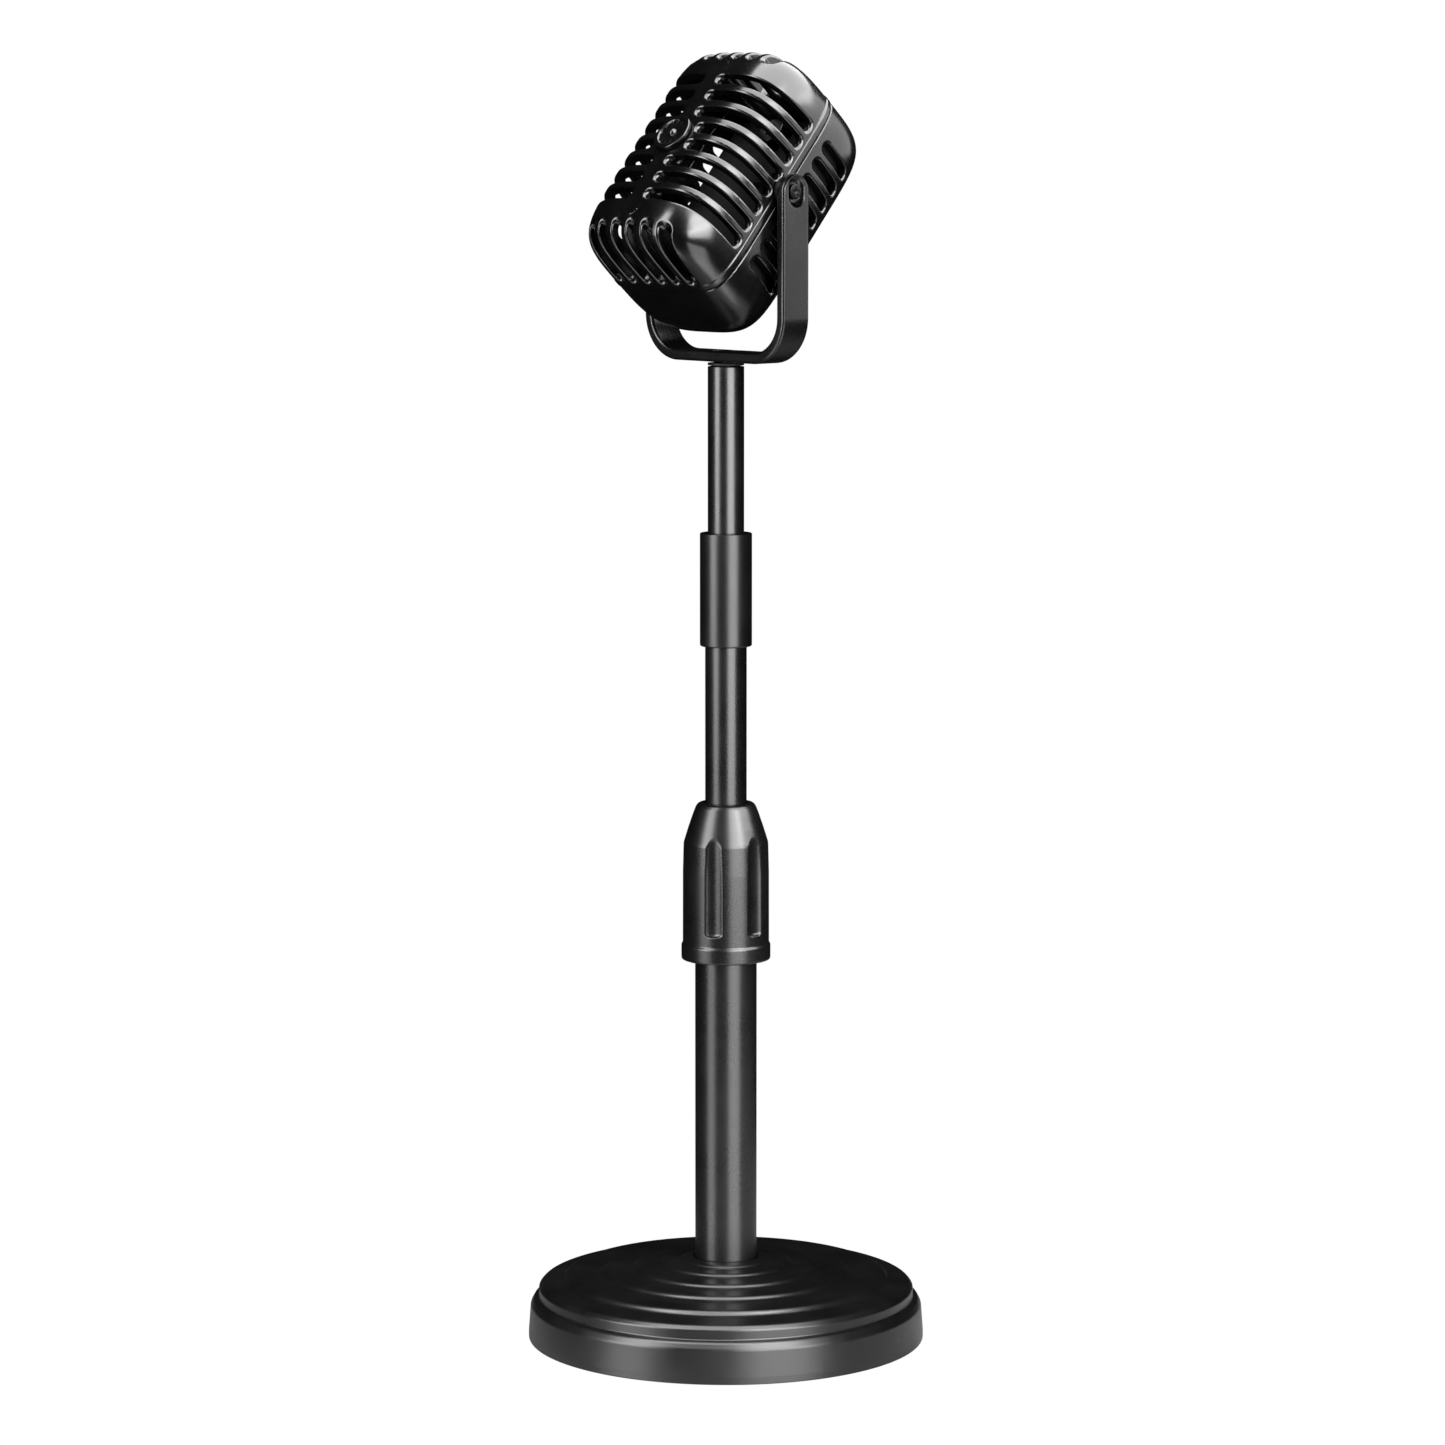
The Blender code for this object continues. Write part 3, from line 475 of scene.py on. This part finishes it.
def cross_head(radius, thickness, dome):
    """A screw head with a cross recess, its top at z = 0, on a short shank."""
    def field(x, y, z):
        away = np.hypot(x, y)
        crown = z + dome * (away / radius) ** 2
        head = round_meet(away - radius, np.maximum(crown, -z - thickness), 0.22 * thickness + 0.05)
        arm = 0.17 * radius
        reach = 0.62 * radius
        depth = np.minimum(away * 0.55, 0.4) - thickness * 0.75
        first = np.maximum(np.abs(x) - arm, np.abs(y) - reach)
        second = np.maximum(np.abs(y) - arm, np.abs(x) - reach)
        cross = np.maximum(np.minimum(first, second), depth - z)
        return round_cut(head, cross, 0.05)

    return field


# ---------------------------------------------------------------- materials

def shader_of(name, tone, roughness, metallic=0.0, specular=0.5):
    material = bpy.data.materials.new(name)
    material.use_nodes = True
    tree = material.node_tree
    shader = tree.nodes["Principled BSDF"]
    shader.inputs["Base Color"].default_value = (*tone, 1.0)
    shader.inputs["Roughness"].default_value = roughness
    shader.inputs["Metallic"].default_value = metallic
    shader.inputs["Specular IOR Level"].default_value = specular
    return material, tree, shader


def noise(tree, coords, size_mm, detail=2.0, rough=0.5):
    """Noise whose patches are about size_mm across."""
    node = tree.nodes.new("ShaderNodeTexNoise")
    node.inputs["Scale"].default_value = 1.0 / (size_mm * MM)
    node.inputs["Detail"].default_value = detail
    node.inputs["Roughness"].default_value = rough
    tree.links.new(coords, node.inputs["Vector"])
    return node.outputs["Fac"]


def remap(tree, value, low, high, start=0.3, stop=0.7):
    node = tree.nodes.new("ShaderNodeMapRange")
    node.inputs["From Min"].default_value = start
    node.inputs["From Max"].default_value = stop
    node.inputs["To Min"].default_value = low
    node.inputs["To Max"].default_value = high
    tree.links.new(value, node.inputs["Value"])
    return node.outputs["Result"]


def surface(name, tone, roughness, spread, grain_mm, relief_mm, metallic=0.0, specular=0.5, stretch=None):
    """A moulded, painted or turned surface: slow changes in tone and gloss over a fine grain."""
    material, tree, shader = shader_of(name, tone, roughness, metallic, specular)
    coords = tree.nodes.new("ShaderNodeTexCoord").outputs["Object"]
    grain_coords = coords
    if stretch is not None:
        mapping = tree.nodes.new("ShaderNodeMapping")
        mapping.inputs["Scale"].default_value = stretch
        tree.links.new(coords, mapping.inputs["Vector"])
        grain_coords = mapping.outputs["Vector"]
    cloud = noise(tree, coords, 11.0, 3.0)
    grain = noise(tree, grain_coords, grain_mm, 3.0, 0.55)

    mix = tree.nodes.new("ShaderNodeMix")
    mix.data_type = "RGBA"
    mix.inputs["A"].default_value = (*[value * 0.75 for value in tone], 1.0)
    mix.inputs["B"].default_value = (*[value * 1.3 for value in tone], 1.0)
    tree.links.new(remap(tree, cloud, 0.0, 1.0), mix.inputs["Factor"])
    tree.links.new(mix.outputs["Result"], shader.inputs["Base Color"])

    gloss = tree.nodes.new("ShaderNodeMath")
    gloss.operation = "ADD"
    tree.links.new(remap(tree, cloud, roughness - spread, roughness + spread), gloss.inputs[0])
    tree.links.new(remap(tree, grain, -spread * 0.6, spread * 0.6), gloss.inputs[1])
    tree.links.new(gloss.outputs["Value"], shader.inputs["Roughness"])

    bump = tree.nodes.new("ShaderNodeBump")
    bump.inputs["Strength"].default_value = 1.0
    bump.inputs["Distance"].default_value = relief_mm * MM
    tree.links.new(grain, bump.inputs["Height"])
    tree.links.new(bump.outputs["Normal"], shader.inputs["Normal"])
    return material


def make_looks():
    black = (0.0009, 0.0009, 0.001)
    return {
        "head_gloss": surface("head_gloss", black, 0.2, 0.03, 0.9, 0.0012),
        "badge_black": surface("badge_black", black, 0.2, 0.03, 0.6, 0.0015),
        "yoke_satin": surface("yoke_satin", (0.0014, 0.0014, 0.0015), 0.29, 0.04, 0.35, 0.004),
        "sleeve_satin": surface("sleeve_satin", (0.0014, 0.0014, 0.0015), 0.32, 0.03, 0.3, 0.003),
        "collar_satin": surface("collar_satin", (0.0014, 0.0014, 0.0015), 0.29, 0.03, 0.35, 0.004),
        "base_satin": surface("base_satin", (0.0014, 0.0014, 0.0015), 0.31, 0.03, 0.45, 0.004),
        "tube_black": surface("tube_black", (0.0014, 0.0014, 0.0015), 0.29, 0.03, 0.25, 0.001, 0.0, 0.6,
                              (1.0, 1.0, 0.15)),
        "filler_matt": surface("filler_matt", (0.001, 0.001, 0.001), 0.8, 0.05, 0.8, 0.01, 0.0, 0.2),
        "bush_nylon": surface("bush_nylon", (0.0013, 0.0013, 0.0014), 0.6, 0.05, 0.4, 0.004, 0.0, 0.25),
        "brass": surface("brass", (0.03, 0.026, 0.02), 0.3, 0.05, 0.3, 0.003, 1.0),
        "screw_steel": surface("screw_steel", (0.012, 0.012, 0.013), 0.36, 0.06, 0.3, 0.003, 1.0),
        "weight_iron": surface("weight_iron", (0.16, 0.16, 0.17), 0.6, 0.1, 0.8, 0.03, 1.0),
        "pad_foam": surface("pad_foam", (0.028, 0.028, 0.028), 0.9, 0.05, 0.5, 0.06),
    }


# ---------------------------------------------------------------- pieces

def size_of(node):
    """A node's box at rest, in millimetres."""
    low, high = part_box(node)
    return low / MM, high / MM


def show(piece, node, body, slot, looks):
    """Let a piece stand for a CAD node, in its place, on its body and with its finish."""
    piece.data.materials.clear()
    piece.data.materials.append(looks[slot])
    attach(piece, body)
    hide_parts(node)
    PIECES.setdefault(body, []).append(piece)
    return piece


def tube_corners(node, inner, bevel=0.15):
    low, high = size_of(node)
    return [(high.x, low.z, bevel), (high.x, high.z, bevel), (inner, high.z, bevel), (inner, low.z, bevel)]


def make_base(looks):
    low, high = size_of("base_shell")
    rim = high.x
    wall = [(rim, low.z, 0.4), (rim, 2.5, 4.0), (rim - 0.5, 9.2, 2.2), (rim - 1.4, 10.9, 1.6)]
    step = [(rim - 2.6, 11.2, 0.4), (rim - 2.6, 13.6, 0.9), (rim - 3.6, 14.7, 1.6)]
    corners = wall + step
    for radius, height, riser in BASE_RINGS:
        corners += [(radius + RING_RISE_RUN, height - riser, 1.6), (radius, height, 2.2)]
    socket = size_of("lower_tube")[1].x + SOCKET_GAP
    corners += [(socket + 0.5, high.z, 0.4), (socket, high.z - 0.5, 0.25), (socket, SOCKET_FLOOR, 0.1)]
    corners += [(SCREW_HOLE, SOCKET_FLOOR, 0.1), (SCREW_HOLE, SOCKET_FOOT, 0.1)]
    corners += [(SOCKET_WALL, SOCKET_FOOT, 0.4), (SOCKET_WALL, 17.6, 0.6)]
    ceiling = [(29.0, 15.4, 2.0), (40.0, 13.4, 2.0), (44.0, 12.0, 1.5)]
    inner_wall = [(rim - 3.2, 8.7, 1.5), (rim - 2.2, low.z + 2.4, 0.8), (rim - 2.2, low.z, 0.4)]
    corners += ceiling + inner_wall
    shell = turned("base_shell_fine", corners, steps=SPIN_STEPS + 64)
    show(shell, "base_shell", "stand", "base_satin", looks)

    low, high = size_of("foot_pad")
    pad = [(0.0, low.z, 0.0), (high.x, low.z, 0.3), (high.x, high.z, 0.3), (0.0, high.z, 0.0)]
    show(turned("foot_pad_fine", pad), "foot_pad", "stand", "pad_foam", looks)


def make_tubes(looks):
    for node, body, inner in TUBES:
        show(turned(node + "_fine", tube_corners(node, inner)), node, body, "tube_black", looks)

    low, high = size_of("coupling_sleeve")
    corners = [(high.x, low.z, 0.45), (high.x, high.z, 0.45), (SLEEVE_POCKET, high.z, 0.2)]
    corners += [(SLEEVE_POCKET, SLEEVE_STEP, 0.1), (SLEEVE_BORE, SLEEVE_STEP, 0.1), (SLEEVE_BORE, low.z, 0.2)]
    sleeve = turned("coupling_sleeve_fine", corners)
    show(sleeve, "coupling_sleeve", "mid_stage", "sleeve_satin", looks)

    bush = turned("friction_bush_fine", tube_corners("friction_bush", 4.7))
    show(bush, "friction_bush", "mid_stage", "bush_nylon", looks)
    washer = turned("swivel_washer_fine", tube_corners("swivel_washer", 2.0, 0.12))
    show(washer, "swivel_washer", "upper_stage", "bush_nylon", looks)


def make_collar(looks):
    low, high = size_of("lock_collar")
    field = collar_field_for(low.z, high.z)
    reach = high.x + 0.8
    collar = carved("lock_collar_fine", field, (-reach, -reach, low.z - 0.8), (reach, reach, high.z + 0.8),
                    0.34)
    show(collar, "lock_collar", "lock_collar", "collar_satin", looks)


def make_yoke(looks):
    low, high = size_of("yoke")
    pivot = Vector(JOINTS["head_tilt"]["pos_m"]) / MM
    field = yoke_field_for(high.x, low.z, pivot.z, high.y)
    yoke = carved("yoke_fine", field, (low.x - 0.7, low.y - 0.7, low.z - 0.7),
                  (high.x + 0.7, high.y + 0.7, high.z + 0.7), 0.34)
    show(yoke, "yoke", "yoke", "yoke_satin", looks)


def make_head(looks):
    place = head_place(Vector(JOINTS["head_tilt"]["pos_m"]))
    half = [size + 0.9 for size in HEAD_HALF]
    front = carved("front_shell_fine", front_field, (-half[0], -half[1], -half[2]), (half[0], 1.3, half[2]),
                   0.38, place)
    show(front, "front_shell", "head", "head_gloss", looks)
    rear = carved("rear_shell_fine", rear_field, (-half[0], -0.7, -half[2]), (half[0], half[1], half[2]),
                  0.38, place)
    show(rear, "rear_shell", "head", "head_gloss", looks)

    filler = carved("filler_block_fine", filler_field, (-half[0], FILLER_FRONT - 0.8, -half[2]), half,
                    0.6, place)
    show(filler, "filler_block", "head", "filler_matt", looks)

    reach = BADGE_RADIUS + 0.4
    face = -HEAD_HALF[1]
    badge = carved("front_badge_fine", badge_field, (-reach, face - 1.9, -reach), (reach, face + 0.2, reach),
                   0.14, place)
    show(badge, "front_badge", "head", "badge_black", looks)


def make_screw(node, place, looks, head_size, low, high, step, shank_outline):
    """A cross-head screw on the head's body, its top at the origin of place and its shank along -Z."""
    head = carved(node + "_head", cross_head(*head_size), low, high, step, place)
    join(head, turned(node + "_shank", shank_outline, place, 48))
    show(head, node, "head", "screw_steel", looks)


def make_pivot_screws(looks):
    shank = [(0.0, -10.8, 0.0), (1.2, -10.8, 0.4), (1.2, -0.6, 0.05), (0.0, -0.6, 0.0)]
    for side, node in ((1, "pivot_screw_right"), (-1, "pivot_screw_left")):
        low, high = size_of(node)
        top = high.x if side > 0 else -low.x
        centre = (low + high) / 2
        turn = Matrix.Rotation(math.radians(90.0 * side), 4, "Y")
        place = Matrix.Translation(Vector((side * top, centre.y, centre.z)) * MM) @ turn
        make_screw(node, place, looks, (1.85, 0.72, 0.12), (-2.1, -2.1, -1.1), (2.1, 2.1, 0.4), 0.09, shank)


def make_shell_screws(looks):
    head = head_place(Vector(JOINTS["head_tilt"]["pos_m"]))
    turn = Matrix.Rotation(math.radians(-90.0), 4, "X")
    shank = [(0.0, -20.6, 0.0), (0.4, -20.6, 0.1), (1.0, -19.6, 0.2), (1.0, -1.9, 0.05), (0.0, -1.9, 0.0)]
    for side, node in ((1, "shell_screw_top"), (-1, "shell_screw_bottom")):
        spot = Vector((0.0, SHELL_SCREW_BACK, side * POST_OFFSET)) * MM
        place = head @ Matrix.Translation(spot) @ turn
        make_screw(node, place, looks, (2.2, 2.0, 0.1), (-2.5, -2.5, -2.4), (2.5, 2.5, 0.4), 0.12, shank)


def make_friction_washers(looks):
    turn = Matrix.Rotation(math.radians(90.0), 4, "Y")
    for node in ("friction_washer_right", "friction_washer_left"):
        low, high = size_of(node)
        centre = (low + high) / 2
        outer = (high.y - low.y) / 2
        place = Matrix.Translation(Vector((0.0, centre.y, centre.z)) * MM) @ turn
        ring = [(outer, low.x, 0.15), (outer, high.x, 0.15), (1.6, high.x, 0.1), (1.6, low.x, 0.1)]
        show(turned(node + "_fine", ring, place, 96), node, "head", "bush_nylon", looks)


def join(first, second):
    """Add the second object's mesh to the first."""
    with bpy.context.temp_override(active_object=first, selected_editable_objects=[first, second]):
        bpy.ops.object.join()


def dress_frame(looks):
    """Give every CAD node its own finish, also those that other pieces stand for."""
    slots = {part["node"]: part["material_slot"] for part in frame["record"]["subparts"]}
    for node, thing in frame["nodes"].items():
        thing.data.materials.clear()
        thing.data.materials.append(looks[slots[node]])


# ---------------------------------------------------------------- studio

def make_camera():
    distance, height, azimuth, pitch = 1.231, 0.3140, 46.8, 7.25
    aim_left = 0.040         # degrees
    data = bpy.data.cameras.new("camera")
    data.sensor_width = 36.0
    data.lens = 123.6
    data.clip_end = 60.0
    camera = bpy.data.objects.new("camera", data)
    bpy.context.scene.collection.objects.link(camera)
    turn = math.radians(azimuth)
    camera.location = (distance * math.sin(turn), -distance * math.cos(turn), height)
    camera.rotation_euler = (math.radians(90.0 - pitch), 0.0, turn + math.radians(aim_left))
    bpy.context.scene.camera = camera


def softbox(name, centre, facing, width, height, radiance):
    """A rectangular area light; width lies level and height stands up across the facing."""
    data = bpy.data.lights.new(name, "AREA")
    data.shape = "RECTANGLE"
    data.size = width
    data.size_y = height
    data.energy = radiance * math.pi * width * height
    lamp = bpy.data.objects.new(name, data)
    bpy.context.scene.collection.objects.link(lamp)
    lamp.location = centre
    lamp.rotation_euler = Vector(facing).to_track_quat("Z", "Y").to_euler()
    lamp.visible_camera = False
    return lamp


def pieces_on(*bodies):
    """Every object that belongs to these bodies, the CAD's own nodes among them."""
    found = [piece for body in bodies for piece in PIECES.get(body, [])]
    for body in bodies:
        found += [frame["nodes"][node] for node in frame["record"]["behaviour"]["bodies"][body]]
    return found


def lights_only(lamp, things):
    """Keep a lamp's light to these objects."""
    group = bpy.data.collections.new(lamp.name + "_lights")
    for thing in things:
        group.objects.link(thing)
    lamp.light_linking.receiver_collection = group


def direction(azimuth, elevation):
    """A unit vector; azimuth counts from the front towards the right, as the camera's does."""
    turn = math.radians(azimuth)
    lift = math.radians(elevation)
    return Vector((math.sin(turn) * math.cos(lift), -math.cos(turn) * math.cos(lift), math.sin(lift)))


def by_ray(tree, seen, unseen):
    """One shader for what the camera sees directly and another for all other rays."""
    path = tree.nodes.new("ShaderNodeLightPath")
    mix = tree.nodes.new("ShaderNodeMixShader")
    tree.links.new(path.outputs["Is Camera Ray"], mix.inputs["Fac"])
    tree.links.new(unseen, mix.inputs[1])
    tree.links.new(seen, mix.inputs[2])
    return mix.outputs["Shader"]


def lamp_for(things, name, centre, facing, width, height, radiance):
    """A softbox that lights only these objects."""
    lights_only(softbox(name, centre, facing, width, height, radiance), things)


def make_head_lights():
    head = pieces_on("head")
    both = head + pieces_on("yoke")
    middle = Vector((0.0, 0.0, 0.27))
    reach = 0.9
    lamp_for(head, "key_box", middle + Vector((0.6475, 0.70, 0.829)) * reach, direction(90.0, 70.0),
             2.4 * reach, 2.15 * reach, 10.5)
    right = direction(86.0, 0.0)
    lamp_for(both, "right_low", Vector((0.0, 0.0, 0.45)) + right * 1.2, right, 1.0, 0.32, 13.0)
    right = direction(84.0, 0.0)
    lamp_for(head, "right_mid", Vector((0.0, 0.0, 0.86)) + right * 1.2, right, 1.0, 0.8, 8.0)
    left = direction(-12.0, 0.0)
    lamp_for(both, "left_box", Vector((0.0, 0.0, 0.98)) + left * 1.3, left, 0.46, 1.94, 14.0)
    back = direction(148.0, 8.0)
    lamp_for(both, "back_low", middle + back * 1.3, back, 1.1, 0.55, 2.5)


def make_stand_lights(floor):
    stand = pieces_on("stand", "lock_collar", "mid_stage", "upper_stage") + [floor]
    right = direction(78.0, 0.0)
    lamp_for(stand, "stand_right", Vector((0.0, 0.0, 1.045)) + right * 1.2, right, 0.9, 2.05, 13.0)
    left = direction(-10.0, 0.0)
    lamp_for(stand, "stand_left", Vector((0.0, 0.0, 1.06)) + left * 1.2, left, 0.6, 2.02, 12.0)
    above = direction(47.0, 68.0)
    lamp_for(pieces_on("stand"), "stand_above", above * 1.1, above, 1.3, 0.9, 7.0)
    side = direction(112.0, 35.0)
    lamp_for(pieces_on("lock_collar"), "collar_side", Vector((0.0, 0.0, 0.13)) + side * 1.1, side,
             1.0, 0.7, 10.0)


def make_world():
    """White behind everything that the camera sees, and almost dark for reflections."""
    world = bpy.data.worlds.new("studio")
    bpy.context.scene.world = world
    world.use_nodes = True
    tree = world.node_tree
    tree.nodes.clear()
    out = tree.nodes.new("ShaderNodeOutputWorld")
    seen = tree.nodes.new("ShaderNodeBackground")
    seen.inputs["Color"].default_value = (1.0, 1.0, 1.0, 1.0)
    dim = tree.nodes.new("ShaderNodeBackground")
    dim.inputs["Color"].default_value = (0.008, 0.008, 0.008, 1.0)
    tree.links.new(by_ray(tree, seen.outputs["Background"], dim.outputs["Background"]), out.inputs["Surface"])
    bpy.context.scene.view_settings.view_transform = "Standard"


def floor_material():
    """White to the camera, clear from below, and otherwise a faint gloss over a painted pool of light on the
    right: a diffuse colour that fades from bright to black with distance from one spot.
    """
    material = bpy.data.materials.new("pale_floor")
    material.use_nodes = True
    tree = material.node_tree
    tree.nodes.clear()
    out = tree.nodes.new("ShaderNodeOutputMaterial")
    white = tree.nodes.new("ShaderNodeEmission")
    white.inputs["Color"].default_value = (1.0, 1.0, 1.0, 1.0)
    painted_pool = tree.nodes.new("ShaderNodeBsdfDiffuse")
    coords = tree.nodes.new("ShaderNodeTexCoord")
    away = tree.nodes.new("ShaderNodeVectorMath")
    away.operation = "DISTANCE"
    away.inputs[1].default_value = PAINTED_POOL_CENTRE
    tree.links.new(coords.outputs["Object"], away.inputs[0])
    # painted pool of light: the floor's colour fades from 0.4 near the centre to black, in place of light falling
    # on the floor at the right
    pool_fade = remap(tree, away.outputs["Value"], 0.4, 0.0, *PAINTED_POOL_FADE)
    tree.links.new(pool_fade, painted_pool.inputs["Color"])
    gloss = tree.nodes.new("ShaderNodeBsdfGlossy")
    gloss.inputs["Color"].default_value = (0.3, 0.3, 0.3, 1.0)
    gloss.inputs["Roughness"].default_value = 0.25
    both = tree.nodes.new("ShaderNodeAddShader")
    tree.links.new(painted_pool.outputs["BSDF"], both.inputs[0])
    tree.links.new(gloss.outputs["BSDF"], both.inputs[1])
    clear = tree.nodes.new("ShaderNodeBsdfTransparent")
    side = tree.nodes.new("ShaderNodeNewGeometry")
    pick = tree.nodes.new("ShaderNodeMixShader")
    tree.links.new(side.outputs["Backfacing"], pick.inputs["Fac"])
    tree.links.new(by_ray(tree, white.outputs["Emission"], both.outputs["Shader"]), pick.inputs[1])
    tree.links.new(clear.outputs["BSDF"], pick.inputs[2])
    tree.links.new(pick.outputs["Shader"], out.inputs["Surface"])
    return material


def make_floor():
    """A round floor, just below the foot pad."""
    mesh = bpy.data.meshes.new("floor")
    ring = []
    for step in range(FLOOR_SIDES):
        angle = 2 * math.pi * step / FLOOR_SIDES
        ring.append((FLOOR_RADIUS * math.cos(angle), FLOOR_RADIUS * math.sin(angle), 0.0))
    mesh.from_pydata(ring, [], [tuple(range(FLOOR_SIDES))])
    mesh.materials.append(floor_material())
    floor = bpy.data.objects.new("floor", mesh)
    floor.location.z = -FLOOR_DROP
    bpy.context.scene.collection.objects.link(floor)
    return floor


looks = make_looks()
make_camera()
dress_frame(looks)
make_base(looks)
make_tubes(looks)
make_collar(looks)
make_yoke(looks)
make_head(looks)
make_pivot_screws(looks)
make_shell_screws(looks)
make_friction_washers(looks)
make_world()
make_head_lights()
make_stand_lights(make_floor())
